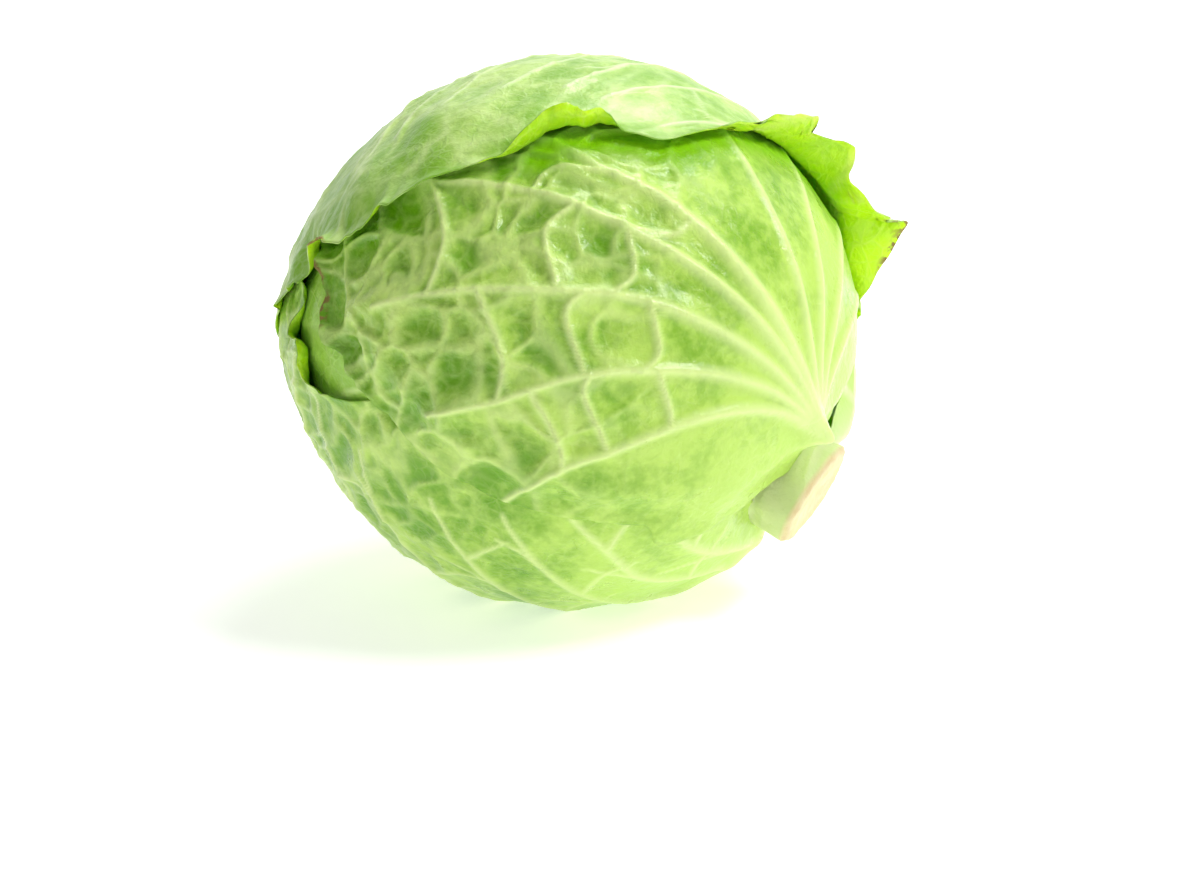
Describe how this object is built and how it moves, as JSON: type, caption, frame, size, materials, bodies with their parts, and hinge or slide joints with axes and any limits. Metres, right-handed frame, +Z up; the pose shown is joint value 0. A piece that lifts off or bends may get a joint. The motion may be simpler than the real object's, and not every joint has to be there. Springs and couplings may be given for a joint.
{
  "type": "white cabbage",
  "caption": "Whole round cabbage head lying on its side: big veined wrapper leaves with ruffled edges, nested inner leaves, a tight heart and a cut stalk.",
  "frame": {"origin": "middle of the flat spot on the under leaf that the head rests on", "axes": "+Z up, away from the surface that it rests on; -Y towards the front leaf; the cut stalk points towards +X, a little to -Y, and down"},
  "size_m": [0.1869, 0.1777, 0.172],
  "materials": {
    "wrapper_leaf": "waxy light green leaf skin with a soft sheen, pale raised veins and darker green between them",
    "inner_leaf": "thinner, paler yellow-green leaf with whitish veins",
    "heart": "tightly folded creamy yellow leaves",
    "stalk": "moist cream-coloured cut stalk with a slightly browned fibrous rim"
  },
  "bodies": {
    "root": {"top_wrapper_leaf": "wrapper_leaf", "front_leaf": "wrapper_leaf", "under_leaf": "wrapper_leaf", "back_leaf": "wrapper_leaf", "inner_leaf_01": "inner_leaf", "inner_leaf_02": "inner_leaf", "inner_leaf_03": "inner_leaf", "inner_leaf_04": "inner_leaf", "inner_leaf_05": "inner_leaf", "inner_leaf_06": "inner_leaf", "inner_leaf_07": "inner_leaf", "inner_leaf_08": "inner_leaf", "inner_leaf_09": "inner_leaf", "heart": "heart", "stalk": "stalk"}
  },
  "joints": []
}
